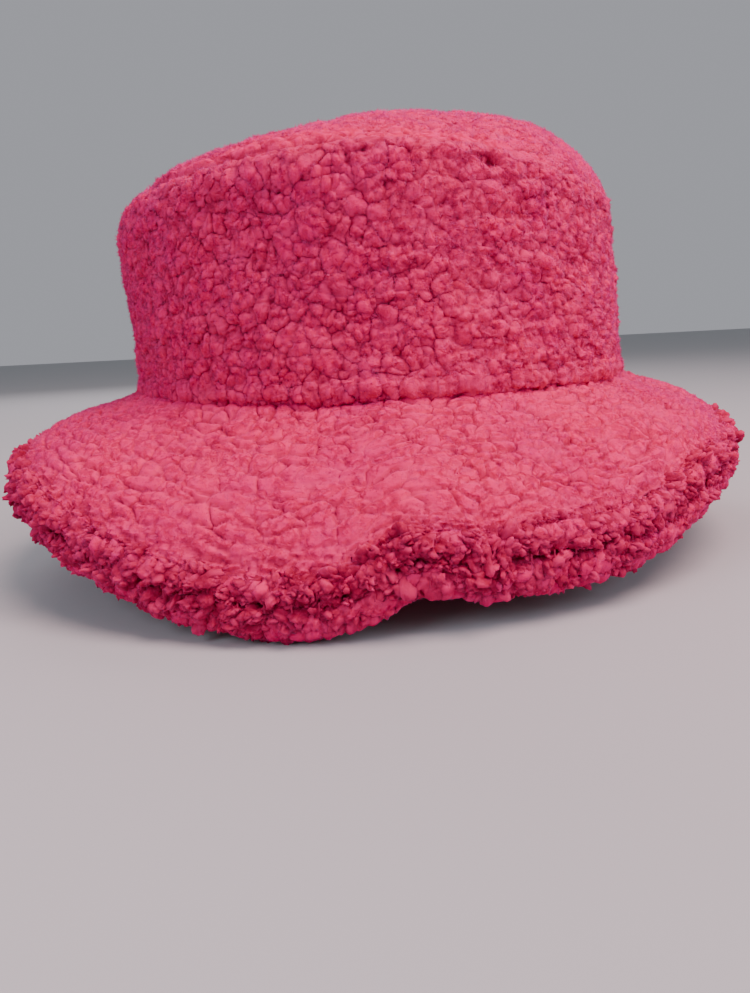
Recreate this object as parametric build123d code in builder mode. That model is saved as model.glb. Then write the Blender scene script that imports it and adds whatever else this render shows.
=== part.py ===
"""Bucket hat in curly-pile fleece, sized for a 57 cm head.

Millimetres, +Z up, front towards -Y. The hat stands on the lowest lips of its
brim, and the origin is under its centre, level with those lips.
"""
from build123d import *
from math import cos, exp, radians, sin
import os

os.makedirs("parts", exist_ok=True)

# ---- Driving dimensions -------------------------------------------------------------
head_radius = 90.6           # inside of the sweatband: a 569 mm round opening
sweatband_thickness = 0.8
lining_thickness = 0.5
seam_room = 1.0              # between the lining and the fleece, where the seams' threads lie
fleece_thickness = 8.0       # knitted back and pile together
crown_side_height = 74.0     # from the brim seam to the seam round the tip
tip_rise = 30.0              # from that seam to the top of the raised middle
tip_lean = 14.0              # the raised middle lies this far towards +X

brim_radius = 150.0          # outermost pile of the brim's lip, on average
brim_skew = 5.0              # the brim is an oval, this much longer at 45 degrees and shorter at 135
lip_half_height = 11.0       # from the groove between the two layers to the pile above or below
side_drop = 35.0             # from the brim seam down to the lip's lowest pile, at the sides
# The soft brim hangs lower in five folds: (direction in degrees, extra drop, half width in degrees)
brim_folds = [(55, 30, 30), (125, 30, 30), (257, 31, 36), (304, 13, 19), (335, 5, 30)]

piece_gap = 0.3              # between two pieces that are sewn face to face
brim_gap = 0.5               # between the interlining and the fleece above or below it
thread_diameter = 0.5
interlining_thickness = 1.0
sweatband_height = 24.0      # above the brim seam
hem_depth = 8.0              # the sweatband's sewn hem, below the brim seam
label_width_deg = 13.0       # 21 mm along the wall
label_height = 26.0

# ---- Worked-out dimensions ----------------------------------------------------------
lining_outer = head_radius + sweatband_thickness + 0.1 + lining_thickness
lining_inner = lining_outer - lining_thickness
fleece_inner = lining_outer + seam_room
fleece_outer = fleece_inner + fleece_thickness
thread_radius = (lining_outer + fleece_inner) / 2
brim_inner = fleece_inner + 0.3
seam_angle = 0.15            # half of the gap at a side seam, in degrees
section_step = 15            # between the brim's sections, in degrees
station_angles = range(0, 360, section_step)


def fold_drop(angle):
    """How far the lip's lowest pile hangs below the brim seam in this direction."""
    drop = side_drop
    for fold_angle, depth, half_width in brim_folds:
        turn = (angle - fold_angle + 180) % 360 - 180
        drop += depth * exp(-((turn / half_width) ** 2))
    return drop


seam_height = max(fold_drop(angle) for angle in station_angles)
crown_top = seam_height + crown_side_height


def radial_plane(angle):
    """The upright plane through the hat's axis: x runs outwards, y runs up."""
    outwards = (cos(radians(angle)), sin(radians(angle)), 0)
    normal = (sin(radians(angle)), -cos(radians(angle)), 0)
    return Plane(origin=(0, 0, 0), x_dir=outwards, z_dir=normal)


def lip_reach(angle):
    """How far the lip's outermost pile is from the hat's axis in this direction."""
    return brim_radius + brim_skew * sin(radians(2 * angle))


def groove_height(angle):
    return seam_height - fold_drop(angle) + lip_half_height


def brim_middle(angle, along):
    """A point of the surface between the brim's two layers; along is 0 inside, 1 at the lip."""
    start = (brim_inner, seam_height - 5)
    end = (lip_reach(angle) - 4, groove_height(angle))
    fall = 0.8 * along + 0.2 * along**2
    return (start[0] + (end[0] - start[0]) * along, start[1] + (end[1] - start[1]) * fall)


def layer_outline(angle, up):
    """Skin and back of one fleece layer of the brim; up is 1 for the upper, -1 for the under."""
    groove = groove_height(angle)
    reach = lip_reach(angle)
    root = brim_middle(angle, 0.16)
    shoulder = brim_middle(angle, 0.35)
    outer = brim_middle(angle, 0.75)
    inner = brim_middle(angle, 0)
    back_clear = up * (interlining_thickness / 2 + brim_gap)
    skin = [
        (brim_inner, inner[1] + up * 4.2),
        (root[0], root[1] + up * 5.8),
        (shoulder[0], shoulder[1] + up * 9),
        (outer[0], outer[1] + up * 10),
        (reach - 4.5, groove + up * (lip_half_height - 0.6)),
        (reach, groove + up * 5.5),
        (reach - 3.5, groove + back_clear),
    ]
    back = [(x, y + back_clear) for x, y in (brim_middle(angle, s) for s in (1, 0.75, 0.5, 0.25, 0))]
    back[0] = skin[-1]
    return skin, back


# ---- Fleece crown -------------------------------------------------------------------
def crown_side_outline():
    """Section of the side panel, rounded where the pile rolls over its two seams."""
    bottom = seam_height
    top = crown_top
    Polyline((fleece_outer - 5, bottom), (fleece_inner, bottom), (fleece_inner, top), (fleece_outer - 6, top))
    Spline((fleece_outer - 6, top), (fleece_outer - 1.2, top - 4), (fleece_outer, top - 11))
    Line((fleece_outer, top - 11), (fleece_outer, bottom + 8))
    Spline((fleece_outer, bottom + 8), (fleece_outer - 1, bottom + 2.5), (fleece_outer - 5, bottom))


panel_starts = {"back": 0, "front": 180}
for side, start in panel_starts.items():
    with BuildPart() as crown_side:
        with BuildSketch(radial_plane(start + seam_angle)):
            with BuildLine():
                crown_side_outline()
            make_face()
        revolve(axis=Axis.Z, revolution_arc=180 - 2 * seam_angle)
    crown_side.part.label = f"crown_side_{side}"
    export_step(crown_side.part, f"parts/crown_side_{side}.step")


def dome_rings(base_radius, base_height, inset):
    """The tip's rings as (height, radius, shift towards +X), inset below the outer skin."""
    rise = tip_rise - inset
    return [
        (base_height, base_radius, 0),
        (crown_top + 0.43 * rise - 0.2 * inset, 0.88 * base_radius - 0.2 * inset, 0.07 * tip_lean),
        (crown_top + 0.77 * rise - 0.2 * inset, 0.66 * base_radius - 0.3 * inset, 0.43 * tip_lean),
        (crown_top + rise, 0.32 * base_radius - 0.4 * inset, tip_lean),
    ]


with BuildPart() as crown_tip:
    for height, radius, shift in dome_rings(fleece_outer - 1, crown_top + piece_gap, 0):
        with BuildSketch(Plane(origin=(shift, 0, height))):
            Circle(radius)
    loft()
    for height, radius, shift in dome_rings(fleece_inner, crown_top + piece_gap, fleece_thickness):
        with BuildSketch(Plane(origin=(shift, 0, height))):
            Circle(radius)
    loft(mode=Mode.SUBTRACT)
crown_tip.part.label = "crown_tip"
export_step(crown_tip.part, "parts/crown_tip.step")

# ---- Brim ---------------------------------------------------------------------------
section_count = 180 // section_step + 1
arc_span = 180 - 2 * seam_angle
for side, start in panel_starts.items():
    first = start + seam_angle
    section_angles = [first + arc_span * step / (section_count - 1) for step in range(section_count)]
    for layer, up in {"upper": 1, "under": -1}.items():
        with BuildPart() as brim_layer:
            for angle in section_angles:
                skin, back = layer_outline(angle, up)
                with BuildSketch(radial_plane(angle)):
                    with BuildLine():
                        Spline(*skin)
                        Spline(*back)
                        Line(back[-1], skin[0])
                    make_face()
            loft()
        brim_layer.part.label = f"brim_{layer}_{side}"
        export_step(brim_layer.part, f"parts/brim_{layer}_{side}.step")

    half = interlining_thickness / 2
    with BuildPart() as brim_interlining:
        for angle in section_angles:
            middle = [brim_middle(angle, along) for along in (0.02, 0.25, 0.5, 0.75, 0.9)]
            above = [(x, y + half) for x, y in middle]
            below = [(x, y - half) for x, y in reversed(middle)]
            with BuildSketch(radial_plane(angle)):
                with BuildLine():
                    Spline(*above)
                    Line(above[-1], below[0])
                    Spline(*below)
                    Line(below[-1], above[0])
                make_face()
        loft()
    brim_interlining.part.label = f"brim_interlining_{side}"
    export_step(brim_interlining.part, f"parts/brim_interlining_{side}.step")

# ---- Lining and sweatband -----------------------------------------------------------
lining_bottom = seam_height + 1
lining_top = crown_top - 1
with BuildPart() as lining_side:
    with BuildSketch(radial_plane(90 + seam_angle)):
        with BuildLine():
            Polyline(
                (lining_inner, lining_bottom),
                (lining_outer, lining_bottom),
                (lining_outer, lining_top),
                (lining_inner, lining_top),
                close=True,
            )
        make_face()
    revolve(axis=Axis.Z, revolution_arc=360 - 2 * seam_angle)
lining_side.part.label = "lining_side"
export_step(lining_side.part, "parts/lining_side.step")

lining_inset = fleece_thickness + seam_room
with BuildPart() as lining_tip:
    for height, radius, shift in dome_rings(lining_outer, lining_top + 0.2, lining_inset):
        with BuildSketch(Plane(origin=(shift, 0, height))):
            Circle(radius)
    loft()
    for height, radius, shift in dome_rings(lining_outer - 0.6, lining_top + 0.2, lining_inset + 0.6):
        with BuildSketch(Plane(origin=(shift, 0, height))):
            Circle(radius)
    loft(mode=Mode.SUBTRACT)
lining_tip.part.label = "lining_tip"
export_step(lining_tip.part, "parts/lining_tip.step")

# The band stands against the lining, and its hem steps outwards to the brim seam.
band_outer = head_radius + sweatband_thickness
hem_inner = head_radius + 0.6
with BuildPart() as sweatband:
    with BuildSketch(Plane.XZ):
        with BuildLine():
            Polyline(
                (head_radius, seam_height - 2),
                (head_radius, seam_height + sweatband_height),
                (band_outer, seam_height + sweatband_height),
                (band_outer, seam_height - 2),
                (hem_inner + 0.8, seam_height - 3),
                (hem_inner + 0.8, seam_height - hem_depth),
                (hem_inner, seam_height - hem_depth),
                (hem_inner, seam_height - 3),
                close=True,
            )
        make_face()
    revolve(axis=Axis.Z)
sweatband.part.label = "sweatband"
export_step(sweatband.part, "parts/sweatband.step")

# ---- Care label ---------------------------------------------------------------------
# A blank strip sewn into the lining's back seam by one upright edge, so it turns like a page.
label_bottom = seam_height + sweatband_height + 4
label_middle = lining_inner - 0.5
with BuildPart() as care_label:
    with BuildSketch(radial_plane(90 + seam_angle)):
        with BuildLine():
            Polyline(
                (label_middle - 0.25, label_bottom),
                (label_middle + 0.25, label_bottom),
                (label_middle + 0.25, label_bottom + label_height),
                (label_middle - 0.25, label_bottom + label_height),
                close=True,
            )
        make_face()
    revolve(axis=Axis.Z, revolution_arc=label_width_deg)
care_label.part.label = "care_label"
export_step(care_label.part, "parts/care_label.step")


# ---- Stitching ----------------------------------------------------------------------
def stitch_place(angle, radius, height, lean):
    """Where one stitch lies on the wall of a cylinder; lean turns it from upright, in degrees."""
    wall = Plane(
        origin=(radius * cos(radians(angle)), radius * sin(radians(angle)), height),
        x_dir=(-sin(radians(angle)), cos(radians(angle)), 0),
        z_dir=(cos(radians(angle)), sin(radians(angle)), 0),
    )
    return wall.location * Location((0, 0, 0), (0, 0, lean)) * Location((0, 0, 0), (-90, 0, 0))


def round_seam(count, radius, height, lean):
    """Places of evenly spaced stitches in a level ring."""
    return [stitch_place(index * 360 / count, radius, height, lean) for index in range(count)]


overlock_count = 96
with BuildPart() as tip_seam_stitching:
    with Locations(*round_seam(overlock_count, thread_radius, crown_top - 1.2, 35)):
        Cylinder(thread_diameter / 2, 3)
tip_seam_stitching.part.label = "tip_seam_stitching"
export_step(tip_seam_stitching.part, "parts/tip_seam_stitching.step")

with BuildPart() as brim_seam_stitching:
    with Locations(*round_seam(overlock_count, thread_radius, seam_height + 3, 35)):
        Cylinder(thread_diameter / 2, 4)
brim_seam_stitching.part.label = "brim_seam_stitching"
export_step(brim_seam_stitching.part, "parts/brim_seam_stitching.step")

side_stitch_pitch = 3.5
side_stitch_count = int((crown_side_height - 16) / side_stitch_pitch)
side_stitch_heights = [seam_height + 9 + index * side_stitch_pitch for index in range(side_stitch_count)]
with BuildPart() as side_seam_stitching:
    with Locations(*[stitch_place(a, thread_radius, h, 75) for a in (0, 180) for h in side_stitch_heights]):
        Cylinder(thread_diameter / 2, 4)
side_seam_stitching.part.label = "side_seam_stitching"
export_step(side_seam_stitching.part, "parts/side_seam_stitching.step")

lip_stitch_count = 120
lip_angles = [(index + 0.5) * 360 / lip_stitch_count for index in range(lip_stitch_count)]
with BuildPart() as lip_stitching:
    with Locations(*[stitch_place(a, lip_reach(a) - 1.6, groove_height(a), 0) for a in lip_angles]):
        Cylinder(thread_diameter / 2, 2.4)
lip_stitching.part.label = "lip_stitching"
export_step(lip_stitching.part, "parts/lip_stitching.step")

fine_thread_diameter = 0.3
lining_stitch_radius = lining_inner - 0.3
tip_stitch_count = 120
back_seam_heights = [label_bottom + label_height + 3 + index * 3.5 for index in range(4)]
with BuildPart() as lining_stitching:
    with Locations(*round_seam(tip_stitch_count, lining_stitch_radius, lining_top - 2, 90)):
        Cylinder(fine_thread_diameter / 2, 3)
    with Locations(*[stitch_place(90, lining_stitch_radius, h, 0) for h in back_seam_heights]):
        Cylinder(fine_thread_diameter / 2, 2.5)
lining_stitching.part.label = "lining_stitching"
export_step(lining_stitching.part, "parts/lining_stitching.step")

hem_stitch_count = 140
with BuildPart() as sweatband_stitching:
    with Locations(*round_seam(hem_stitch_count, hem_inner - 0.25, seam_height - 5.5, 90)):
        Cylinder(fine_thread_diameter / 2, 2.8)
sweatband_stitching.part.label = "sweatband_stitching"
export_step(sweatband_stitching.part, "parts/sweatband_stitching.step")
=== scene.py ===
"""Looks of the curly-pile bucket hat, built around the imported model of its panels."""
import math

import bpy
import numpy as np
from mathutils import Matrix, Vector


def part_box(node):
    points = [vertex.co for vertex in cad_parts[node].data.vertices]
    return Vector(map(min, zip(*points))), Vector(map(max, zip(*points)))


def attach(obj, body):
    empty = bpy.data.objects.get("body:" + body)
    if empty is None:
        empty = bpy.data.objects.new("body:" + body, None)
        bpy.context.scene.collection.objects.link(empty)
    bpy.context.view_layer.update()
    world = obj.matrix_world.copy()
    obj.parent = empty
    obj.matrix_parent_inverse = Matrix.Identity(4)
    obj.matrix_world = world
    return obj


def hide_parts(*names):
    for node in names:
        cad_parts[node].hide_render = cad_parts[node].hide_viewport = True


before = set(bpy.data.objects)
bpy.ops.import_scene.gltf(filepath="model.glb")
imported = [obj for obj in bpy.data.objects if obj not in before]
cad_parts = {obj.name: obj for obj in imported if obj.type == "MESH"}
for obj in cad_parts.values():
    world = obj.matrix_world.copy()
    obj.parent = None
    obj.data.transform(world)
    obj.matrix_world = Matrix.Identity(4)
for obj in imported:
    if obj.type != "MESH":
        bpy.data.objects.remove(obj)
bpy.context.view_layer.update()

MM = 0.001

# ---- Driving dimensions, in millimetres ---------------------------------------------
crown_low, crown_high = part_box("crown_side_front")
seam_height = crown_low[2] / MM
crown_top = crown_high[2] / MM
fleece_inner = 93.0          # inner and outer faces of the crown's fleece
fleece_outer = 101.0
brim_inner = 93.3            # where the brim starts, at the head opening
brim_radius = 150.0          # outermost pile of the brim's lip, on average
brim_skew = 5.0              # the brim is an oval, this much longer at 45 degrees
brim_mid_radius = 126        # the brim's pile is measured round this circle,
brim_length = 68.0           # and this far out along the brim
lip_half_height = 11.0       # from the groove between the two layers to the pile above or below
side_drop = 35.0             # from the brim seam down to the lip's lowest pile, at the sides
# The soft brim hangs lower in five folds: (direction in degrees, extra drop, half width in degrees)
brim_folds = [(55, 30, 30), (125, 30, 30), (257, 31, 36), (304, 13, 19), (335, 5, 30)]
lip_dent = (273.5, -7, 6)    # a short rise in the front of the lip: direction, height, half width
tip_lean = 15.0              # the raised middle of the tip lies this far towards +X
crown_shift = -2.6           # the soft crown's pile leans this far towards -X at its top
pile_depth = 3.6             # from the tops of the curls down to the cracks between them
lining_radius = 91.5         # the lining's wall, where it lies flat
label_start = 90.15          # direction of the label's sewn edge and the lining's seam, in degrees
label_turn = 13              # how far round the wall the label reaches, in degrees


# ---- Noise on a surface measured in millimetres -------------------------------------
lattice_shift = 5000         # keeps the lattice's place numbers positive


def lattice(ix, iy, seed):
    """A repeatable random number from 0 to 1 at each whole-numbered place."""
    h = ix.astype(np.uint64) * np.uint64(374761393) + iy.astype(np.uint64) * np.uint64(668265263)
    h = (h + np.uint64(seed) * np.uint64(2246822519)) & np.uint64(0xFFFFFFFF)
    h = ((h ^ (h >> np.uint64(13))) * np.uint64(1274126177)) & np.uint64(0xFFFFFFFF)
    h = ((h ^ (h >> np.uint64(16))) * np.uint64(2654435761)) & np.uint64(0xFFFFFFFF)
    h = h ^ (h >> np.uint64(15))
    return (h & np.uint64(0xFFFFFF)).astype(float) / float(0x1000000)


def smooth_noise(u, v, size, seed, around=None):
    """Smooth noise from -1 to 1; around is the length after which u repeats."""
    count = max(3, round(around / size)) if around else None
    x = u / around * count if around else u / size
    y = v / size
    ix = np.floor(x).astype(np.int64)
    iy = np.floor(y).astype(np.int64)
    fx = x - ix
    fy = y - iy
    fx = fx * fx * (3 - 2 * fx)
    fy = fy * fy * (3 - 2 * fy)

    def corner(a, b):
        column = (ix + a) % count if around else ix + a + lattice_shift
        return lattice(column, iy + b + lattice_shift, seed)

    low = corner(0, 0) * (1 - fx) + corner(1, 0) * fx
    high = corner(0, 1) * (1 - fx) + corner(1, 1) * fx
    return 2 * (low * (1 - fy) + high * fy) - 1


def curls(u, v, wide, tall, seed, around=None):
    """Irregular cells: border distance, the offset from the cell's middle, and two numbers a cell."""
    jitter = 0.85
    count = max(3, round(around / wide)) if around else None
    x = u / around * count if around else u / wide
    y = v / tall
    ix = np.floor(x).astype(np.int64)
    iy = np.floor(y).astype(np.int64)
    first = np.full(x.shape, 1e9)
    second = np.full(x.shape, 1e9)
    off_x = np.zeros(x.shape)
    off_y = np.zeros(x.shape)
    level = np.zeros(x.shape)
    shade = np.zeros(x.shape)
    for a in (-1, 0, 1):
        for b in (-1, 0, 1):
            cx = ix + a
            cy = iy + b
            kx = cx % count if around else cx + lattice_shift
            ky = cy + lattice_shift
            dx = x - (cx + 0.5 + jitter * (lattice(kx, ky, seed) - 0.5))
            dy = y - (cy + 0.5 + jitter * (lattice(kx, ky, seed + 1) - 0.5))
            far = np.sqrt(dx * dx + dy * dy)
            nearer = far < first
            second = np.where(nearer, first, np.minimum(second, far))
            first = np.where(nearer, far, first)
            off_x = np.where(nearer, dx, off_x)
            off_y = np.where(nearer, dy, off_y)
            level = np.where(nearer, lattice(kx, ky, seed + 2), level)
            shade = np.where(nearer, lattice(kx, ky, seed + 4), shade)
    return second - first, off_x, off_y, level, shade


def dome(border, width, soft):
    """Rises from the crack at a cell's border to a rounded top, less steeply where soft is near 1."""
    t = np.clip(border / width, 0, 1)
    return (t * (2 - t)) ** (0.5 + 0.6 * soft)


def fleece(
    u, v, seed, around, wide, tall, fine, felted, curl=1.0, crack=0.75, broken=0.0, fine_crack=1.0
):
    """Curly pile: height from 0 to about 1, its lean along u and v in mm, and how light it is (painted shade
    and light, with a random tone).

    Clumps are wide by tall and their nubs fine across, in mm. Curl raises the nubs, crack and
    fine_crack widen the cracks, broken leaves out some of them, and felted blurs them all.
    """

    def warp(size, way):
        """One of many separate fields of smooth noise."""
        return smooth_noise(u, v, size, seed + way, around)

    rough = 0.6 + 0.4 * curl
    wu = u + 2.6 * warp(9, 20) + rough * (1.3 * warp(3.9, 21) + 0.4 * warp(1.9, 24))
    wv = v + (1.2 + 1.4 * curl) * warp(9, 22) + rough * (1.3 * warp(3.9, 23) + 0.4 * warp(1.9, 25))
    border, off_u, off_v, level, shade = curls(wu, wv, wide, tall, seed, around)
    away = np.hypot(off_u, off_v)
    round_top = np.clip(1 - (away / 0.8) ** 2, 0, 1)
    parted = np.clip(0.9 - broken + (0.8 + broken) * warp(7, 60), 0.25 * (1 - 2 * broken), 1)
    clump = 1 - parted * (1 - dome(border, crack, curl))
    fine_u = u + 1.3 * warp(3.1, 30) + 0.35 * warp(1.4, 32)
    fine_v = v + 1.3 * warp(3.1, 31) + 0.35 * warp(1.4, 33)
    fine_border, fine_off_u, fine_off_v, fine_level, _ = curls(
        fine_u, fine_v, fine * (wide / tall) ** 0.6, fine, seed + 40, around
    )
    split = np.clip(0.8 + 0.9 * warp(5, 61), 0.1, 1)
    nub = 1 - split * (1 - dome(fine_border, fine_crack, curl))
    fine_top = np.clip(1 - (np.hypot(fine_off_u, fine_off_v) / 0.8) ** 2, 0, 1)
    height = 0.34 * clump * (0.7 + 0.3 * round_top) + 0.14 * curl * level
    nubs = 0.36 * nub * (0.5 + 0.5 * fine_top) + 0.14 * (fine_level - 0.5)
    height += curl * nubs + 0.34 * (1 - curl) * clump
    uneven = (0.01 + 0.11 * curl) * warp(5, 63) + curl * (0.05 * warp(2.7, 64) + 0.05 * warp(1.5, 50))
    height += uneven + 0.02 * warp(0.9, 51)
    height = (1 - 0.4 * felted) * height + 0.2 * felted
    matted = warp(2.7, 67)
    height += felted * (0.2 * warp(5.5, 66) + 0.15 * matted + 0.1 * warp(1.4, 68))
    clear = 1 - 0.45 * felted
    clump = 1 - clear * (1 - clump)
    nub = 1 - clear * (1 - nub)
    spread = (1 - 0.5 * felted) * (0.5 + 1.3 * curl) * clump * (1 - 0.6 * clump)
    fine_spread = curl * 0.8 * nub * (1 - 0.6 * nub)
    lean_u = 2 * (spread * off_u + fine_spread * fine_off_u)
    lean_v = 2 * (spread * off_v + fine_spread * fine_off_v)
    # Painted shade: darker in the cracks between clumps and between nubs, and painted light on the rounded
    # tops.
    light = clump * (1 - 0.36 * curl * (1 - nub)) * (0.86 + 0.14 * round_top)
    # A random tone for each cell and a little noise, the fleece's own colour.
    light = light + 0.12 * (shade - 0.5) + 0.06 * warp(1.3, 52)
    # Painted light: lighter where the matted pile rises.
    light += 0.12 * felted * matted
    return height, lean_u, lean_v, light


# ---- Meshes from grids --------------------------------------------------------------
def make_object(name, points, faces, uvs, body="hat", pile=None):
    """A mesh object from points in mm; faces and uvs are lists of arrays, 3 or 4 corners a row."""
    mesh = bpy.data.meshes.new(name)
    corners = np.concatenate([f.ravel() for f in faces]).astype(np.int32)
    sizes = np.concatenate([np.full(len(f), f.shape[1]) for f in faces]).astype(np.int32)
    starts = np.concatenate([[0], np.cumsum(sizes)[:-1]]).astype(np.int32)
    mesh.vertices.add(len(points))
    mesh.vertices.foreach_set("co", (points * MM).astype(np.float32).ravel())
    mesh.loops.add(len(corners))
    mesh.loops.foreach_set("vertex_index", corners)
    mesh.polygons.add(len(sizes))
    mesh.polygons.foreach_set("loop_start", starts)
    mesh.polygons.foreach_set("loop_total", sizes)
    mesh.update(calc_edges=True)
    mesh.polygons.foreach_set("use_smooth", np.ones(len(sizes), bool))
    layer = mesh.uv_layers.new(name="OFBake")
    places = np.concatenate([w.reshape(-1, 2) for w in uvs])
    layer.uv.foreach_set("vector", places.astype(np.float32).ravel())
    if pile is not None:
        attribute = mesh.attributes.new("pile", "FLOAT", "POINT")
        attribute.data.foreach_set("value", pile.astype(np.float32))
    mesh.validate()
    obj = bpy.data.objects.new(name, mesh)
    bpy.context.collection.objects.link(obj)
    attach(obj, body)
    return obj


def grid_quads(rows, columns, close_rows=False, close_columns=False):
    """Corner numbers of a grid's quads, point number = row * columns + column, and their places."""
    row = np.arange(rows if close_rows else rows - 1)
    column = np.arange(columns if close_columns else columns - 1)
    a, b = np.meshgrid(row, column, indexing="ij")
    here = a * columns
    ahead = (a + 1) % rows * columns
    next_b = (b + 1) % columns
    quads = np.stack([here + b, ahead + b, ahead + next_b, here + next_b], -1)
    return quads.reshape(-1, 4), a.ravel(), b.ravel()


def grid_border(side):
    """Point numbers once round the border of a square grid."""
    return np.concatenate([
        np.arange(side) * side, (side - 1) * side + np.arange(1, side),
        np.arange(side - 2, -1, -1) * side + side - 1, np.arange(side - 2, 0, -1),
    ])


def grid_uvs(a, b, rows, columns):
    """Each quad's corners spread over the whole map, one cell of the map a quad."""
    corners = [(0, 0), (1, 0), (1, 1), (0, 1)]
    margin = 0.01
    place = [np.stack([(a + i) / rows, (b + j) / columns], -1) for i, j in corners]
    return margin + (1 - 2 * margin) * np.stack(place, 1)


def tube(name, sections, body="hat", pile=None, closed=False):
    """A closed band from its sections round the hat: rows run round, columns round the section."""
    rows, columns = sections.shape[:2]
    points = sections.reshape(-1, 3)
    quads, a, b = grid_quads(rows, columns, close_rows=closed, close_columns=True)
    faces = [quads]
    uvs = [grid_uvs(a, b, rows, columns)]
    values = None if pile is None else pile.ravel()
    if not closed:
        middles = np.stack([sections[0].mean(0), sections[-1].mean(0)])
        points = np.concatenate([points, middles])
        step = np.arange(columns)
        turn = (step + 1) % columns
        last = (rows - 1) * columns
        faces.append(np.stack([turn, step, np.full(columns, len(points) - 2)][::-1], -1))
        faces.append(np.stack([last + step, last + turn, np.full(columns, len(points) - 1)][::-1], -1))
        uvs += 2 * [np.tile([[0.002, 0.002], [0.006, 0.002], [0.002, 0.006]], (columns, 1, 1))]
        # Where there is pile, the end caps take the darkest colour: painted shade at the seams.
        if values is not None:
            values = np.concatenate([values, [0, 0]])
    return make_object(name, points, faces, uvs, body, values)


def unit(vectors):
    """The same directions with a length of 1."""
    return vectors / np.maximum(np.linalg.norm(vectors, axis=-1, keepdims=True), 1e-9)


def normals_of(points):
    """Unit normals of a grid of points, along the cross product of its rows and columns."""
    return unit(np.cross(np.gradient(points, axis=0), np.gradient(points, axis=1)))


def through(controls, count):
    """An evenly stepped smooth curve (Catmull-Rom) through control points, for every row at once."""
    first = 2 * controls[:, :1] - controls[:, 1:2]
    last = 2 * controls[:, -1:] - controls[:, -2:-1]
    p = np.concatenate([first, controls, last], 1)
    steps = 12                   # from one control point to the next
    t = np.linspace(0, 1, steps, endpoint=False)[None, None, :, None]
    p0, p1, p2, p3 = (p[:, k : p.shape[1] - 3 + k, None] for k in range(4))
    curve = 0.5 * (
        2 * p1 + (p2 - p0) * t + (2 * p0 - 5 * p1 + 4 * p2 - p3) * t**2 + (3 * p1 - p0 - 3 * p2 + p3) * t**3
    )
    curve = np.concatenate([curve.reshape(len(p), -1, p.shape[-1]), controls[:, -1:]], 1)
    gaps = np.linalg.norm(np.diff(curve, axis=1), axis=-1)
    length = np.concatenate([np.zeros((len(p), 1)), np.cumsum(gaps, 1)], 1)
    length /= length[:, -1:]
    wanted = np.linspace(0, 1, count)
    out = np.empty((len(p), count, p.shape[-1]))
    for row in range(len(p)):
        for axis in range(p.shape[-1]):
            out[row, :, axis] = np.interp(wanted, length[row], curve[row, :, axis])
    return out


def revolve(angles, profile):
    """Points (x, y, z) from angles in degrees and a profile of (radius, height) for each."""
    a = np.radians(angles)[:, None]
    radius = profile[..., 0]
    return np.stack([radius * np.cos(a), radius * np.sin(a), profile[..., 1]], -1)


# ---- Fleece panels ------------------------------------------------------------------
def grow_pile(points, back, u, v, seed, around, depth, name, grain, lump=1.2, dents=()):
    """Raises curly pile on a grid of skin points and closes it with the back's points.

    Grain is a list of (share, settings for fleece), and dents of (u, v, half wide, half tall, deep).
    """
    normal = normals_of(points)
    along = unit(np.gradient(points, axis=0))
    across = unit(np.gradient(points, axis=1))
    height = lean_u = lean_v = light = 0
    # Each grain's tone is how light its pile is: painted shade and light, with a random tone.
    for n, (share, shape) in enumerate(grain):
        h, lu, lv, tone = fleece(u, v, seed + 100 * n, around, **shape)
        height = height + share * h
        lean_u = lean_u + share * lu
        lean_v = lean_v + share * lv
        light = light + share * tone
    # The pile fades out to nothing at the panel's long edges, and a little at its side seams.
    rows, columns = points.shape[:2]
    edge = np.minimum(np.arange(columns), np.arange(columns)[::-1]) / (0.05 * columns)
    fade = np.clip(edge, 0, 1)[None, :]
    row = np.minimum(np.arange(rows), np.arange(rows)[::-1])
    fade = fade * np.clip(0.6 + 0.4 * row / 3, 0, 1)[:, None]
    rise = height * depth + lump * smooth_noise(u, v, 34, seed + 70, around)
    for dent_u, dent_v, half_wide, half_tall, deep in dents:
        dent = np.exp(-(((u - dent_u) / half_wide) ** 2) - ((v - dent_v) / half_tall) ** 2)
        rise = rise - deep * dent
        # The dimple is painted darker: painted shade in the hollow.
        light = light - 0.5 * dent
    rise = rise * fade
    moved = points + normal * rise[..., None]
    moved += along * (lean_u * fade)[..., None] + across * (lean_v * fade)[..., None]
    sections = np.concatenate([moved, back], 1)
    # Painted shade: the colour darkens where the pile fades out at the seams, and the back takes the darkest
    # colour.
    pile = np.concatenate([light * (0.4 + 0.6 * fade), np.zeros(back.shape[:2])], 1)
    return tube(name, sections, pile=pile), moved, light


skins = {}                   # each panel's outer surface and how light it is, for the fibres
half_turns = {"back": 0.02, "front": 180.02}    # where each half starts, in degrees
half_span = 179.96           # degrees of each half, seam to seam
crown_round = 2 * math.pi * fleece_outer
brim_round = 2 * math.pi * brim_mid_radius
lining_round = 2 * math.pi * lining_radius


def seam_wave(angles):
    """How far the seam round the tip rises and falls, in mm."""
    a = np.radians(angles)
    return -1 - 5.5 * np.cos(2 * a) - 2 * np.cos(a) + 0.7 * np.sin(5 * a + 2)


def tip_merge(angles):
    """From 0 where the seam round the tip shows as a ledge to 1 where the pile hides it."""
    turn = (angles - 325 + 180) % 360 - 180
    return np.exp(-((turn / 75) ** 4))


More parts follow.
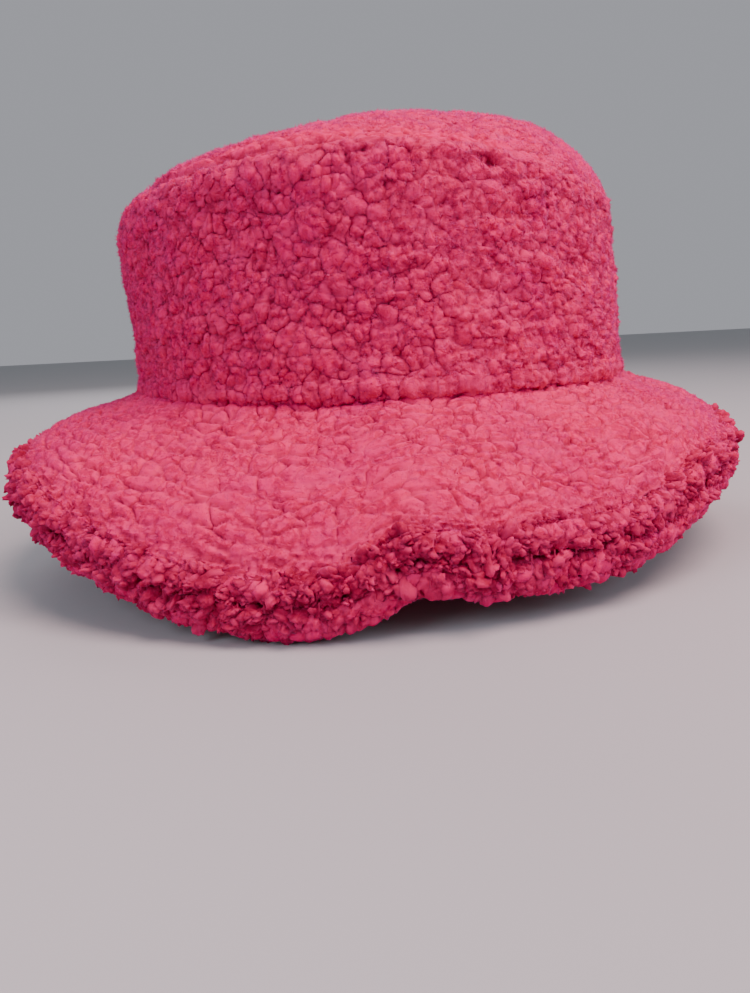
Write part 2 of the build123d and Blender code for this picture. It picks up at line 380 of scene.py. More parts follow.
def crown_side(side):
    """One half of the upright band; its pile rolls over the seams above and below."""
    rows = 550
    columns = 165
    wall_length = 96             # along the wall's section, over both rolled edges
    angles = np.linspace(half_turns[side], half_turns[side] + half_span, rows)
    low = seam_height
    high = crown_top
    outline = [
        (94.0, low + 0.2), (98.2, low - 0.8), (100.3, low + 2.2), (99.4, low + 9),
        (98.6, low + 37), (98.8, high - 10), (97.9, high - 3.2), (95.6, high - 0.4), (94.0, high - 0.8),
    ]
    controls = np.tile(np.array(outline)[None], (rows, 1, 1))
    controls[:, 5:, 1] += seam_wave(angles)[:, None]
    merge = tip_merge(angles)[:, None]
    controls[..., 0] += merge * np.array([0, 0, 0, -0.6, -0.8, -1.0, -0.5, 1.0, 0.4])
    controls[..., 0] += np.cos(np.radians(angles))[:, None] * np.array([0, 0, 0.3, 0.9, 0.9, 0, 0, 0, 0])
    controls[..., 0] -= (1 - merge) * np.array([0, 0, 0, 0, 0, 0.5, 1.5, 1.8, 0.5])
    profile = through(controls, columns)
    points = revolve(angles, profile)
    points[..., 0] += crown_shift * np.clip((points[..., 2] - low) / 45, 0, 1)
    back_profile = np.tile(np.array([(fleece_inner, high - 2.0), (fleece_inner, low + 1.5)]), (rows, 1, 1))
    back_profile[:, 0, 1] += np.minimum(seam_wave(angles), 0)
    back = revolve(angles, back_profile)
    u = np.radians(angles)[:, None] * fleece_outer + 0 * profile[..., 0]
    v = np.linspace(0, wall_length, columns)[None, :] + 0 * u
    right = np.clip((np.cos(np.radians(angles)) + 0.15) / 0.7, 0, 1)[:, None]
    right = np.clip(4 * (right + 0.3 * smooth_noise(u, v, 24, 5, crown_round) - 0.5) + 0.5, 0, 1)
    grain = [
        (1 - right, dict(wide=6.6, tall=8.2, fine=3.3, felted=0.4)),
        (right, dict(wide=9.5, tall=5.4, fine=3.1, curl=0.95, crack=0.9, felted=1.0)),
    ]
    dents = [(math.radians(295) * fleece_outer, 88, 5.0, 2.6, 3.4)]    # a dimple at the front right
    obj, moved, light = grow_pile(
        points, back, u, v, 11, crown_round, 1.15 * pile_depth, f"crown_side_{side}_pile", grain, dents=dents
    )
    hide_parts(f"crown_side_{side}")
    skins[obj.name] = (moved, light)
    return obj


def fold_drop(angles):
    """How far the lip's lowest pile hangs below the brim seam in this direction."""
    drop = np.full(np.shape(angles), side_drop)
    for fold_angle, depth, half_width in brim_folds:
        turn = (angles - fold_angle + 180) % 360 - 180
        drop = drop + depth * np.exp(-((turn / half_width) ** 2))
    return drop + lip_dent[1] * np.exp(-(((angles - lip_dent[0]) / lip_dent[2]) ** 2))


def lip_sag(angles):
    """How much further the lower layer hangs at the front right of the lip."""
    return 2.8 * np.exp(-(((angles - 300) / 38) ** 4))


def lip_reach(angles):
    """Radius of the lip's outermost pile."""
    return brim_radius + brim_skew * np.sin(np.radians(2 * angles))


def brim_middle(angles, along):
    """The surface between the brim's layers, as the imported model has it."""
    start_r, start_z = brim_inner, seam_height - 5
    end_r, end_z = lip_reach(angles) - 4, seam_height - fold_drop(angles) + lip_half_height
    fall = 0.8 * along + 0.2 * along**2
    radius = start_r + (end_r - start_r) * along + 0 * end_z
    return np.stack([radius, start_z + (end_z - start_z) * fall], -1)


def brim_layer(side, layer):
    """One fleece layer of one half of the brim, from the head opening out to the lip's groove."""
    rows = 660
    columns = 142
    up = 1 if layer == "upper" else -1
    angles = np.linspace(half_turns[side], half_turns[side] + half_span, rows)
    groove = seam_height - fold_drop(angles) + lip_half_height

    def point(along, lift):
        return brim_middle(angles, along) + np.array([0, up * lift])

    sag = lip_sag(angles) if layer == "under" else 0 * angles

    def lip(inset, lift, share):
        return np.stack([lip_reach(angles) - inset, groove + up * (lift + share * sag)], -1)

    controls = np.stack([
        point(0.01, 4.8), point(0.14, 5.9), point(0.33, 5.6), point(0.58, 6.9), point(0.78, 7.0),
        lip(8.0, 7.2, 1.0), lip(5.0, 5.2, 0.8), lip(4.4, 2.4, 0.4), lip(6.0, 0.5, 0.0),
    ], 1)
    profile = through(controls, columns)
    points = revolve(angles, profile)
    back_controls = np.stack([point(0.97, 0.7), point(0.5, 0.7), point(0.02, 0.7)], 1)
    back = revolve(angles, back_controls)
    if up > 0:
        points = points[:, ::-1]
        back = back[:, ::-1]
    u = np.radians(angles)[:, None] * brim_mid_radius + 0 * profile[..., 0]
    v = np.linspace(0, brim_length, columns)[None, :] + 0 * u
    if up > 0:
        v = v[:, ::-1]
    seed = 31 if up > 0 else 51
    left = 0.55 * np.cos(np.radians(angles - 222))[:, None]
    matted = np.clip(0.5 + 4 * (0.1 + left + 0.7 * smooth_noise(u, v, 34, seed + 3, brim_round)), 0, 1)
    near_lip = np.clip((v / brim_length - 0.74) / 0.12, 0, 1)
    plates = dict(wide=10.0, tall=4.8, fine=3.4, curl=0.22, crack=0.36, fine_crack=0.5, felted=0.1)
    grains = dict(wide=6.2, tall=4.8, fine=3.3, curl=0.3, crack=0.42, fine_crack=0.7, felted=0.1)
    grain = [
        (near_lip, dict(wide=5.0, tall=3.4, fine=2.1, felted=0.4)),
        ((1 - near_lip) * matted, plates),
        ((1 - near_lip) * (1 - matted), grains),
    ]
    depth = pile_depth * (1.1 + 0.15 * near_lip)
    obj, moved, light = grow_pile(
        points, back, u, v, seed, brim_round, depth, f"brim_{layer}_{side}_pile", grain, lump=0.9
    )
    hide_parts(f"brim_{layer}_{side}")
    skins[obj.name] = (moved, light * (1 - 0.35 * matted * (1 - near_lip)))
    return obj


def fibres(name, moved, light, count, seed, length, half_width, stand):
    """Thin closed spikes of fibre that lie over the pile in locks, each from a base inside the pile."""
    locks = 5.0                  # size of a lock, in the grid's steps
    tries = 4 * count
    rng = np.random.default_rng(seed)
    rows, columns = light.shape
    normal = normals_of(moved)
    row = rng.uniform(1, rows - 2, tries)
    column = rng.uniform(0.03 * columns, 0.97 * columns - 1, tries)
    i = row.astype(int)
    j = column.astype(int)
    keep = rng.random(tries) < np.clip(2.2 * light[i, j] - 0.75, 0.03, 1)
    i, j = i[keep][:count], j[keep][:count]
    fi = rng.random(len(i))[:, None]
    fj = rng.random(len(i))[:, None]
    base = moved[i, j] * (1 - fi) * (1 - fj) + moved[i + 1, j] * fi * (1 - fj)
    base += moved[i, j + 1] * (1 - fi) * fj + moved[i + 1, j + 1] * fi * fj
    out = normal[i, j]
    side_way = unit(moved[i + 1, j] - moved[i - 1, j])
    up_way = np.cross(out, side_way)
    turn = 2.2 * math.pi * smooth_noise(i * 0.6, j * 0.6, locks, seed)
    turn += rng.normal(0, 0.5, len(i))
    lift = stand + np.abs(rng.normal(0, 0.25, len(i)))
    way = unit(side_way * np.cos(turn)[:, None] + up_way * np.sin(turn)[:, None] + out * lift[:, None])
    reach = rng.uniform(*length, len(i))[:, None]
    tip = base + way * reach
    across = unit(np.cross(way, out))
    over = np.cross(across, way)
    root = base - out * 0.25
    half = half_width * rng.uniform(0.7, 1.2, len(i))[:, None]
    corners = [root + half * (math.cos(a) * across + math.sin(a) * over) for a in (0.5, 2.6, 4.7)]
    points = np.stack([*corners, tip], 1).reshape(-1, 3)
    first = 4 * np.arange(len(i))[:, None]
    faces = np.concatenate([first + np.array([k]) for k in ((0, 2, 1), (0, 1, 3), (1, 2, 3), (2, 0, 3))])
    # Each fibre takes the pile's lightness under it (painted shade and light) with a random tone, and is
    # painted darker at its root and lighter at its tip.
    shade = np.clip(light[i, j] + rng.normal(0, 0.08, len(i)), 0, 1)
    pile = np.stack([shade - 0.15, shade - 0.15, shade - 0.15, shade + 0.1], 1).ravel()
    column_uv = 0.02 + 0.96 * shade
    corner_uv = np.array([0.02, 0.02, 0.02, 0.98])[(faces % 4)]
    uvs = [np.stack([column_uv[faces // 4], corner_uv], -1)]
    return make_object(name, points, [faces], uvs, pile=pile)


def disc_grid(side):
    """A square grid pressed into the unit disc: how far out and in which direction each point is."""
    a, b = np.meshgrid(np.linspace(-1, 1, side), np.linspace(-1, 1, side), indexing="ij")
    disc_a = a * np.sqrt(1 - b * b / 2)
    disc_b = b * np.sqrt(1 - a * a / 2)
    return np.hypot(disc_a, disc_b), np.arctan2(disc_b, disc_a)


def tip_climb(t, around):
    """Height above its rim of the tip's skin: long and low to the left, steep and round to the right."""
    right = 0.5 + 0.5 * np.cos(around)
    slope = (25.3 - 6.8 * right) * (1 - t ** (1.3 + 0.7 * right))
    return slope + (3 + 6.8 * right) * (1 - t ** (12 - 4 * right))


def tip_skin(t, around):
    """Points of the tip's skin, out to its rim at t = 1."""
    right = 0.5 + 0.5 * np.cos(around)
    radius = 95.0 + 2.0 * right
    x = radius * t * np.cos(around) + tip_lean * (1 - t**2) + crown_shift
    y = radius * t * np.sin(around)
    z = crown_top - 0.5 + tip_climb(t, around) + seam_wave(np.degrees(around)) * t**4
    return np.stack([x, y, z], -1)


def tip_under(t, around):
    """Height of the tip's knitted back, which stays clear below its skin."""
    return np.minimum(crown_top - 0.3 + 0.70 * tip_climb(t, around), tip_skin(t, around)[..., 2] - 2.5)


def crown_tip():
    """The round top panel, raised off centre in the middle, with its pile."""
    side = 300
    t, around = disc_grid(side)
    points = tip_skin(t, around)
    normal = normals_of(points)
    u = points[..., 0] * (1 + 0.15 * t**8)
    v = points[..., 1] * (1 + 0.15 * t**8)
    height, lean_u, lean_v, light = fleece(
        u, v, 71, None, wide=9.5, tall=7.2, fine=3.6, felted=0.7, curl=0.55, crack=0.45, broken=0.25
    )
    fade = np.clip((1 - t) / 0.015, 0, 1)
    rise = fade * (0.95 * pile_depth * height + 1.5 * smooth_noise(u, v, 30, 75))
    along = unit(np.gradient(points, axis=0))
    across = unit(np.gradient(points, axis=1))
    moved = points + normal * rise[..., None]
    moved = moved + along * (lean_u * fade)[..., None] + across * (lean_v * fade)[..., None]
    quads, ra, rb = grid_quads(side, side)
    uvs = [0.9 * grid_uvs(ra, rb, side, side)]
    edge = grid_border(side)
    rim_turn = around.ravel()[edge]
    rings = []
    for share in (0.985, 0.96, 0.92, 0.82, 0.65, 0.4, 0.15):
        ring = tip_skin(share + 0 * rim_turn, rim_turn)
        ring[:, 2] = tip_under(share + 0 * rim_turn, rim_turn)
        rings.append(ring)
    middle = rings[-1].mean(0)[None]
    all_points = np.concatenate([moved.reshape(-1, 3), *rings, middle])
    first = side * side
    count = len(edge)
    index = [edge] + [first + k * count + np.arange(count) for k in range(len(rings))]
    faces = [quads]
    for upper, lower in zip(index[:-1], index[1:]):
        faces.append(np.stack([upper, lower, np.roll(lower, -1), np.roll(upper, -1)], -1))
        uvs.append(np.tile([[0.94, 0.94], [0.98, 0.94], [0.98, 0.98], [0.94, 0.98]], (count, 1, 1)))
    centre = np.full(count, len(all_points) - 1)
    faces.append(np.stack([index[-1], centre, np.roll(index[-1], -1)], -1))
    uvs.append(np.tile([[0.94, 0.94], [0.98, 0.94], [0.98, 0.98]], (count, 1, 1)))
    # Painted shade: darker where the pile fades out at the rim, and the back takes the darkest colour.
    pile = np.concatenate([(light * (0.4 + 0.6 * fade)).ravel(), np.zeros(len(rings) * count + 1)])
    obj = make_object("crown_tip_pile", all_points, faces, uvs, pile=pile)
    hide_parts("crown_tip")
    skins[obj.name] = (moved, light)
    return obj


# ---- Cloth inside the hat -----------------------------------------------------------
def lining_rim(around):
    """Height of the lining's upper seam, which stays below the tip's knitted back."""
    return np.minimum(crown_top - 1, tip_under(0.985 + 0 * around, around) - 1.0)


def lining_side():
    """The satin wall of the lining: flat behind the sweatband and the label, soft folds above."""
    rows = 520
    columns = 60
    label_middle = 98
    flat_turn = 13               # on each side of the label's middle, in degrees
    angles = np.linspace(label_start, label_start + 359.7, rows)
    top = lining_rim(np.radians(angles))[:, None]
    u = np.radians(angles)[:, None] * lining_radius + np.zeros(columns)
    v = seam_height + 1 + (top - seam_height - 1) * np.linspace(0, 1, columns)
    high = np.clip((v - seam_height - 25) / 12, 0, 1) * np.clip((top - 1 - v) / 6, 0, 1)
    turn = (angles - label_middle + 180) % 360 - 180
    free = np.clip((np.abs(turn) - flat_turn) / 8, 0, 1)[:, None] * high
    folds = 0.5 + 0.5 * smooth_noise(u, v * 0.35, 13, 201, lining_round)
    small = smooth_noise(u + 0.5 * v, v, 5, 202, lining_round)
    radius = lining_radius - free * (1.5 * folds**1.5 + 0.25 * small + 0.25)
    inner = revolve(angles, np.stack([radius, v], -1))
    outer = revolve(angles, np.stack([radius + 0.4, v], -1))[:, ::-1]
    obj = tube("lining_side_cloth", np.concatenate([outer, inner], 1)[:, ::-1])
    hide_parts("lining_side")
    return obj


def lining_tip():
    """The satin disc that lines the tip, gathered a little towards its rim."""
    side = 120
    rim_radius = 90.9
    t, around = disc_grid(side)
    x = rim_radius * t * np.cos(around) + tip_lean * (1 - t**2)
    y = rim_radius * t * np.sin(around)
    share = 0.90 * t + 0.085 * t**4
    z = np.minimum(crown_top - 0.9 + 0.62 * tip_climb(share, around), tip_under(share, around) - 2.1)
    pucker = 0.35 + 0.35 * smooth_noise(np.degrees(around), 12 * t, 6, 211)
    z = z - pucker * t**3 * np.clip((1 - t) / 0.05, 0, 1)
    upper = np.stack([x, y, z], -1).reshape(-1, 3)
    lower = upper - np.array([0, 0, 0.4])
    quads, ra, rb = grid_quads(side, side)
    edge = grid_border(side)
    ahead = np.roll(edge, -1)
    far = side * side
    wall = np.stack([edge, edge + far, ahead + far, ahead], -1)
    map_corners = grid_uvs(ra, rb, side, side)
    wall_map = np.tile([[0.97, 0.97], [0.99, 0.97], [0.99, 0.99], [0.97, 0.99]], (len(edge), 1, 1))
    uvs = [0.46 * map_corners, 0.5 + 0.46 * map_corners[:, ::-1], wall_map]
    faces = [quads, quads[:, ::-1] + far, wall]
    obj = make_object("lining_tip_cloth", np.concatenate([upper, lower]), faces, uvs)
    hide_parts("lining_tip")
    return obj


def sweatband():
    """The grosgrain band round the head opening, woven in upright ribs, with its hem below."""
    ribs = 620
    steps = 4                    # in each rib
    rows = steps * ribs
    angles = np.linspace(0, 360, rows, endpoint=False)
    low = seam_height
    outline = np.array([
        (90.75, low + 23.9), (90.62, low + 23.5), (90.62, low + 14), (90.62, low + 6), (90.62, low - 1.6),
        (91.2, low - 2.8), (91.22, low - 7.4), (91.6, low - 8.2), (92.7, low - 8.4), (92.75, low - 6.6),
        (91.98, low - 3), (91.4, low - 2), (91.38, low + 10), (91.38, low + 23.6), (91.2, low + 24),
    ])
    profile = np.tile(outline[None], (rows, 1, 1))
    rib = 0.1 * (0.5 - 0.5 * np.cos(2 * math.pi * np.arange(rows) / steps))
    profile[:, 1:7, 0] += rib[:, None]
    wave = 0.2 * smooth_noise(angles * 1.6, 0 * angles, 25, 221, 576.0)
    profile[:, :2, 1] += wave[:, None]
    profile[:, -2:, 1] += wave[:, None]
    obj = tube("sweatband_cloth", revolve(angles, profile), closed=True)
    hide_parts("sweatband")
    return obj


def care_label():
    """The blank label, sewn in by its upright edge and curling a little from the wall at the other."""
    rows = 48
    columns = 40
    low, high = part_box("care_label")
    share = np.linspace(0, 1, rows)
    angles = label_start + label_turn * share
    z = np.linspace(low[2] / MM, high[2] / MM, columns)
    u = 20.5 * share[:, None] + 0 * z
    v = z + 0 * u
    radius = 91.15 - 0.9 * share[:, None] ** 2 * (0.7 + 0.3 * smooth_noise(u, v, 12, 231)) + 0 * v
    inner = revolve(angles, np.stack([radius - 0.25, v], -1))
    outer = revolve(angles, np.stack([radius, v], -1))[:, ::-1]
    obj = tube("care_label_cloth", np.concatenate([outer, inner], 1)[:, ::-1], body="label")
    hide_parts("care_label")
    return obj


def interlining(side):
    """The stiff canvas between the two layers of one half of the brim."""
    rows = 260
    columns = 40
    thickness = np.array([0, 0.7])
    angles = np.linspace(half_turns[side], half_turns[side] + half_span, rows)
    along = np.linspace(0.03, 0.9, columns)
    upper = np.stack([brim_middle(angles, share) + thickness / 2 for share in along], 1)
    ripple = 0.12 * smooth_noise(angles[:, None] * 2.2, 50 * np.linspace(0, 1, columns)[None], 7, 241)
    upper[..., 1] += ripple
    lower = upper[:, ::-1] - thickness
    sections = revolve(angles, np.concatenate([upper, lower], 1))
    obj = tube(f"brim_interlining_{side}_cloth", sections[:, ::-1])
    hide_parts(f"brim_interlining_{side}")
    return obj


def tufts(name, roots, ways, sides, seed):
    """Soft tufts of pile: each is a closed knobbly lump, drawn out a little raggedly at its end."""
    half_sizes = ((2.6, 4.6), (2.5, 4.6), (1.9, 3.1))    # least and most, along, across and through
    around = 18
    along = 13
    knob_count = 14
    rng = np.random.default_rng(seed)
    count = len(roots)
    phi = np.linspace(0, 2 * math.pi, around, endpoint=False)
    theta = np.linspace(0.28, math.pi - 0.28, along)
    level, ring = np.cos(theta)[:, None], np.sin(theta)[:, None]
    ball = np.stack([level + 0 * phi, ring * np.cos(phi), ring * np.sin(phi)], -1).reshape(-1, 3)
    ball = np.concatenate([ball, [[1, 0, 0], [-1, 0, 0]]])
    knobs = unit(rng.normal(0, 1, (count, knob_count, 3)) + np.array([0.35, 0, 0]))
    near = np.einsum("pk,cnk->cpn", ball, knobs)
    ranked = np.sort(near, axis=2)
    knob = np.clip((ranked[..., -1] - ranked[..., -2]) / 0.22, 0, 1)
    knob = knob * (2 - knob)
    own = np.argmax(near, axis=2)
    drawn = np.take_along_axis(rng.uniform(0, 1, (count, knob_count)), own, 1)
    ahead_of = np.clip(ball[:, 0], 0, 1)[None]
    radius = 0.66 + 0.38 * knob + 0.05 * rng.normal(0, 1, (count, len(ball)))
    size = rng.uniform(0.6, 1.3, count)
    axes = np.stack([size * rng.uniform(*limits, count) for limits in half_sizes], -1)
    local = ball[None] * radius[..., None] * axes[:, None]
    local[..., 0] += ahead_of * (2.2 * drawn**2 * knob)
    heading = unit(unit(ways) + rng.normal(0, 0.36, (count, 3)))
    over = unit(np.cross(heading, unit(sides + rng.normal(0, 0.5, (count, 3)))))
    broad = np.cross(over, heading)
    points = roots[:, None]
    for axis, way in enumerate((heading, broad, over)):
        points = points + local[..., axis : axis + 1] * way[:, None]
    quads, _, _ = grid_quads(along, around, close_columns=True)
    step = np.arange(around)
    turned = (step + 1) % around
    last = (along - 1) * around
    front = np.stack([step, turned, np.full(around, along * around)], -1)
    rear = np.stack([last + turned, last + step, np.full(around, along * around + 1)], -1)
    first = len(ball) * np.arange(count)[:, None, None]
    faces = [(f[None] + first).reshape(-1, f.shape[1])[:, ::-1] for f in (quads, front, rear)]
    # Painted shade between the knobs and at the root end, painted light on the knobs and the drawn-out end,
    # with a random tone for each tuft.
    tone = rng.uniform(-0.14, 0.1, count)[:, None]
    values = 0.34 * knob + 0.2 * ahead_of + 0.16 * ahead_of * drawn + tone - 0.18
    uvs = []
    for f in faces:
        owner = f // len(ball)
        within = f % len(ball)
        up = np.where(within < along * around, (within // around) / (along - 1), within - along * around)
        column = 0.02 + 0.96 * (owner + 0.8 * (within % around) / around) / count
        uvs.append(np.stack([column, 0.02 + 0.96 * up], -1))
    return make_object(name, points.reshape(-1, 3), faces, uvs, pile=np.clip(values, 0, 1).ravel())


def lip_tufts(side, layer):
    """The ragged edge of one layer along one half of the brim's lip."""
    up = 1 if layer == "upper" else -1
    rng = np.random.default_rng(400 + up + (0 if side == "front" else 10))
    count = 420
    angles = half_turns[side] + 1.5 + 176.7 * (np.arange(count) + rng.uniform(0, 1, count)) / count
    groove = seam_height - fold_drop(angles) + lip_half_height
    swing = (np.arange(count) * 0.618 + rng.uniform(0, 0.25, count)) % 1
    inset = 4.3 + 4.2 * swing**2 + 1.1 * smooth_noise(angles * 2.6, 0 * angles, 9, 411 + up)
    lift = 1.3 + (6.4 + (lip_sag(angles) if layer == "under" else 0)) * swing
    roots = revolve(angles, np.stack([lip_reach(angles) - inset, groove + up * lift], -1)[:, None])[:, 0]
    a = np.radians(angles)
    outward = np.stack([np.cos(a), np.sin(a), 0 * a], -1)
    sides = np.stack([-np.sin(a), np.cos(a), 0 * a], -1)
    climb = up * (1.5 * swing - 0.5) - 0.3 + rng.normal(0, 0.2, count)
    ways = outward + climb[:, None] * np.array([0, 0, 1.0]) + rng.normal(0, 0.3, count)[:, None] * sides
    return tufts(f"brim_{layer}_{side}_tufts", roots, ways, sides, 500 + up)


# ---- Materials ----------------------------------------------------------------------
def new_material(name, roughness):
    """A Principled material with hardly any highlight."""
    mat = bpy.data.materials.new(name)
    mat.use_nodes = True
    shader = mat.node_tree.nodes["Principled BSDF"]
    shader.inputs["Roughness"].default_value = roughness
    shader.inputs["Specular IOR Level"].default_value = 0.05
    return mat, mat.node_tree.nodes, mat.node_tree.links, shader


def add_noise(nodes, links, scale, detail, roughness=0.55):
    """Noise that is fixed to the object."""
    place = nodes.new("ShaderNodeTexCoord")
    noise = nodes.new("ShaderNodeTexNoise")
    noise.inputs["Scale"].default_value = scale
    noise.inputs["Detail"].default_value = detail
    noise.inputs["Roughness"].default_value = roughness
    links.new(place.outputs["Object"], noise.inputs["Vector"])
    return noise


def add_ramp(nodes, links, source, stops):
    """Turns a value into a colour; stops is a list of (value, colour)."""
    ramp = nodes.new("ShaderNodeValToRGB")
    elements = ramp.color_ramp.elements
    for number, (position, colour) in ((0, stops[0]), (1, stops[-1])):
        elements[number].position = position
        elements[number].color = (*colour, 1)
    for position, colour in stops[1:-1]:
        elements.new(position).color = (*colour, 1)
    links.new(source, ramp.inputs["Fac"])
    return ramp.outputs["Color"]


def multiply(nodes, links, first, second):
    """One colour times another."""
    product = nodes.new("ShaderNodeMix")
    product.data_type = "RGBA"
    product.blend_type = "MULTIPLY"
    product.inputs["Factor"].default_value = 1.0
    links.new(first, product.inputs["A"])
    links.new(second, product.inputs["B"])
    return product.outputs["Result"]


def add_gaps(nodes, links, scale, width):
    """Thin broken gaps between small nubs: 0 in a gap, 1 on a nub."""
    place = nodes.new("ShaderNodeTexCoord")
    bend = add_noise(nodes, links, 260, 2)
    centred = nodes.new("ShaderNodeVectorMath")
    centred.operation = "SUBTRACT"
    centred.inputs[1].default_value = (0.5, 0.5, 0.5)
    links.new(bend.outputs["Color"], centred.inputs[0])
    bent = nodes.new("ShaderNodeVectorMath")
    bent.operation = "MULTIPLY_ADD"
    bent.inputs[1].default_value = (0.006, 0.006, 0.006)
    links.new(centred.outputs["Vector"], bent.inputs[0])
    links.new(place.outputs["Object"], bent.inputs[2])
    cells = nodes.new("ShaderNodeTexVoronoi")
    cells.feature = "DISTANCE_TO_EDGE"
    cells.inputs["Scale"].default_value = scale
    links.new(bent.outputs["Vector"], cells.inputs["Vector"])
    inside = nodes.new("ShaderNodeMapRange")
    inside.interpolation_type = "SMOOTHSTEP"
    inside.inputs["From Max"].default_value = width
    links.new(cells.outputs["Distance"], inside.inputs["Value"])
    patch = add_noise(nodes, links, 70, 2)
    healed = nodes.new("ShaderNodeMapRange")
    healed.inputs["From Min"].default_value = 0.5
    healed.inputs["From Max"].default_value = 0.62
    links.new(patch.outputs["Fac"], healed.inputs["Value"])
    gap = nodes.new("ShaderNodeMath")
    gap.operation = "MAXIMUM"
    links.new(inside.outputs["Result"], gap.inputs[0])
    links.new(healed.outputs["Result"], gap.inputs[1])
    return gap.outputs["Value"]


def fleece_material():
    """Pink pile: darker and duller in the cracks as painted shade, with soft patches, the finest gaps painted
    darker as shade and bumped, and fibres.
    """
    mat, nodes, links, shader = new_material("pink_fleece", 1.0)
    pile = nodes.new("ShaderNodeAttribute")
    pile.attribute_name = "pile"
    # The pile's painted shade and light become colour: deep crimson in the cracks, pink on the tops.
    pink_with_crack_shade = add_ramp(nodes, links, pile.outputs["Fac"], [
        (0.0, (0.36, 0.009, 0.056)), (0.35, (0.66, 0.025, 0.128)),
        (0.65, (0.85, 0.028, 0.170)), (1.0, (0.93, 0.012, 0.166)),
    ])
    patches = add_noise(nodes, links, 45, 3)
    tone = add_ramp(nodes, links, patches.outputs["Fac"], [(0.3, (0.90, 0.90, 1.0)), (0.7, (1.0, 1.0, 0.95))])
    hue = multiply(nodes, links, pink_with_crack_shade, tone)
    gap = add_gaps(nodes, links, 190, 0.2)
    # Painted shade: the thin gaps between nubs are darker.
    shade = nodes.new("ShaderNodeMix")
    shade.data_type = "RGBA"
    shade.inputs["A"].default_value = (0.78, 0.56, 0.64, 1)
    shade.inputs["B"].default_value = (1, 1, 1, 1)
    links.new(gap, shade.inputs["Factor"])
    links.new(multiply(nodes, links, hue, shade.outputs["Result"]), shader.inputs["Base Color"])
    fibres = add_noise(nodes, links, 800, 6, 0.75)
    relief = nodes.new("ShaderNodeMath")
    relief.operation = "MULTIPLY_ADD"
    relief.inputs[1].default_value = 0.45
    links.new(gap, relief.inputs[0])
    links.new(fibres.outputs["Fac"], relief.inputs[2])
    bump = nodes.new("ShaderNodeBump")
    bump.inputs["Strength"].default_value = 0.8
    bump.inputs["Distance"].default_value = 0.0009
    links.new(relief.outputs["Value"], bump.inputs["Height"])
    shader.inputs["Subsurface Weight"].default_value = 0.4
    shader.inputs["Subsurface Radius"].default_value = (1.0, 0.35, 0.5)
    shader.inputs["Subsurface Scale"].default_value = 0.0022
    links.new(bump.outputs["Normal"], shader.inputs["Normal"])
    return mat


def cloth_material(name, base, second, roughness, sheen, count, stretch, strength):
    """Woven cloth: fine threads in two directions, with a little change of tone over the surface."""
    mat, nodes, links, shader = new_material(name, roughness)
    shader.inputs["Sheen Weight"].default_value = sheen
    shader.inputs["Sheen Tint"].default_value = (1.0, 0.8, 0.9, 1)
    shader.inputs["Sheen Roughness"].default_value = 0.4
    tone = add_noise(nodes, links, 90, 4)
    colour = add_ramp(nodes, links, tone.outputs["Fac"], [(0.3, second), (0.7, base)])
    links.new(colour, shader.inputs["Base Color"])
    place = nodes.new("ShaderNodeTexCoord")
    scaled = nodes.new("ShaderNodeMapping")
    scaled.inputs["Scale"].default_value = stretch
    threads = nodes.new("ShaderNodeTexNoise")
    threads.inputs["Scale"].default_value = count
    threads.inputs["Detail"].default_value = 2
    bump = nodes.new("ShaderNodeBump")
    bump.inputs["Strength"].default_value = strength
    bump.inputs["Distance"].default_value = 0.0002
    links.new(place.outputs["Object"], scaled.inputs["Vector"])
    links.new(scaled.outputs["Vector"], threads.inputs["Vector"])
    links.new(threads.outputs["Fac"], bump.inputs["Height"])
    links.new(bump.outputs["Normal"], shader.inputs["Normal"])
    return mat


# ---- Stage --------------------------------------------------------------------------
def add_camera():
    """Level with the crown's lower edge and a little above it, as close as an arm's length."""
    distance = 0.3755
    rise = 0.0183
    pitch = math.radians(10.54)
    roll = math.radians(-2.9)
    yaw = math.radians(-0.62)
    ahead = np.array([math.sin(yaw) * math.cos(pitch), math.cos(yaw) * math.cos(pitch), -math.sin(pitch)])
    level = np.array([math.cos(yaw), -math.sin(yaw), 0])    # to the right, before the roll
    upright = np.cross(level, ahead)
    right = math.cos(roll) * level + math.sin(roll) * upright
    up = -math.sin(roll) * level + math.cos(roll) * upright
    data = bpy.data.cameras.new("camera")
    data.lens = 30.8
    data.sensor_width = 36
    cam = bpy.data.objects.new("camera", data)
    bpy.context.collection.objects.link(cam)
    place = (0, -distance, seam_height * MM + rise)
    rows = [[*column] for column in zip(right, up, -ahead, place)]
    cam.matrix_world = Matrix([*rows, (0, 0, 0, 1)])
    bpy.context.scene.camera = cam


def add_light(name, place, aim, size, power, colour):
    """A soft round lamp, turned to its aim and hidden from the camera."""
    data = bpy.data.lights.new(name, "AREA")
    data.shape = "DISK"
    data.size = size
    data.energy = power
    data.color = colour
    lamp = bpy.data.objects.new(name, data)
    bpy.context.collection.objects.link(lamp)
    lamp.location = place
    towards = np.array(aim, float) - np.array(place, float)
    turn = math.atan2(towards[1], towards[0]) - math.pi / 2
    drop = math.atan2(math.hypot(towards[0], towards[1]), -towards[2])
    lamp.rotation_euler = (drop, 0, turn)
    lamp.visible_camera = False


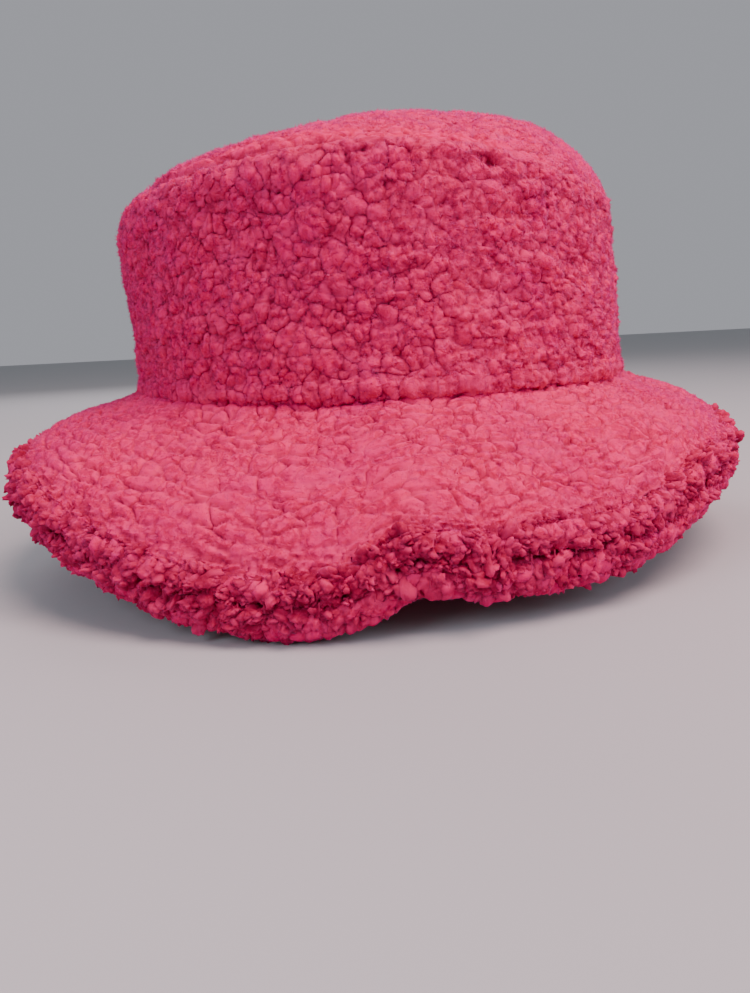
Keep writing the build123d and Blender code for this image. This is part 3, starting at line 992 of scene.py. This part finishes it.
def add_stage():
    """A wide pale floor under a plain sky, and soft lamps."""
    reach = 8.0
    under_hat = -0.0012
    corners = [(-reach, -reach), (reach, -reach), (reach, reach), (-reach, reach)]
    points = [(x, y, under_hat) for x, y in corners]
    mesh = bpy.data.meshes.new("floor")
    mesh.from_pydata(points, [], [(0, 1, 2, 3)])
    floor = bpy.data.objects.new("floor", mesh)
    bpy.context.collection.objects.link(floor)
    mat, _, _, shader = new_material("floor", 0.9)
    shader.inputs["Base Color"].default_value = (0.43, 0.44, 0.445, 1)
    mesh.materials.append(mat)
    world = bpy.data.worlds.new("room")
    world.use_nodes = True
    sky = world.node_tree.nodes["Background"]
    sky.inputs["Color"].default_value = (0.86, 0.87, 0.95, 1)
    sky.inputs["Strength"].default_value = 0.42
    bpy.context.scene.world = world
    add_light("key", (0.45, -0.40, 1.18), (0, 0, 0.08), 0.9, 24, (1.0, 0.66, 0.66))
    add_light("fill", (-0.8, -1.0, 0.75), (0, 0, 0.1), 0.8, 9, (0.82, 0.87, 1.0))
    add_light("rim", (-0.5, 1.25, 0.95), (0, 0, 0.1), 0.9, 9, (1.0, 0.9, 0.95))
    add_light("side", (1.1, -0.6, 0.6), (0, 0, 0.1), 0.7, 7, (0.82, 0.87, 1.0))


# ---- The hat ------------------------------------------------------------------------
add_camera()
add_stage()
pink = fleece_material()
fibre_count = 48000          # on each panel
fibre_half_width = 0.17
pieces = [crown_tip()]
for side in ("front", "back"):
    pieces.append(crown_side(side))
    pieces.append(brim_layer(side, "upper"))
    pieces.append(brim_layer(side, "under"))
for number, (name, (moved, light)) in enumerate(skins.items()):
    length, stand = ((0.6, 1.3), 0.2) if "brim" in name else ((0.8, 1.7), 0.5)
    fibres_name = name.replace("_pile", "_fibres")
    pieces.append(
        fibres(fibres_name, moved, light, fibre_count, 900 + number, length, fibre_half_width, stand)
    )
for side in ("front", "back"):
    for layer in ("upper", "under"):
        pieces.append(lip_tufts(side, layer))
for piece in pieces:
    piece.data.materials.append(pink)

# Each cloth's colour, second colour, roughness, sheen, thread scale and its stretch, and bump
looks = {
    "pink_satin": ((0.83, 0.03, 0.17), (0.70, 0.018, 0.12), 0.36, 0.1, 900, (1, 1, 5), 0.25),
    "pink_grosgrain": ((0.72, 0.02, 0.13), (0.60, 0.012, 0.09), 0.62, 0.15, 1600, (1, 1, 3), 0.4),
    "canvas": ((0.72, 0.69, 0.62), (0.60, 0.57, 0.50), 0.9, 0.05, 1400, (1, 1, 1), 0.6),
    "label_satin": ((0.86, 0.85, 0.82), (0.78, 0.77, 0.74), 0.45, 0.1, 1200, (1, 1, 6), 0.2),
    "pink_thread": ((0.80, 0.03, 0.15), (0.58, 0.012, 0.09), 0.6, 0.2, 2500, (1, 1, 3), 0.6),
    # The lip's stitching lies in the groove between the layers and is painted darker: painted shade.
    "deep_pink_thread": ((0.42, 0.018, 0.085), (0.32, 0.012, 0.06), 0.8, 0.0, 2500, (1, 1, 3), 0.6),
}
cloth = {name: cloth_material(name, *look) for name, look in looks.items()}
lining_side().data.materials.append(cloth["pink_satin"])
lining_tip().data.materials.append(cloth["pink_satin"])
sweatband().data.materials.append(cloth["pink_grosgrain"])
care_label().data.materials.append(cloth["label_satin"])
for side in ("front", "back"):
    interlining(side).data.materials.append(cloth["canvas"])
for name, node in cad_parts.items():
    if name.endswith("_stitching"):
        node.data.materials.clear()
        node.data.materials.append(cloth["deep_pink_thread" if "lip" in name else "pink_thread"])
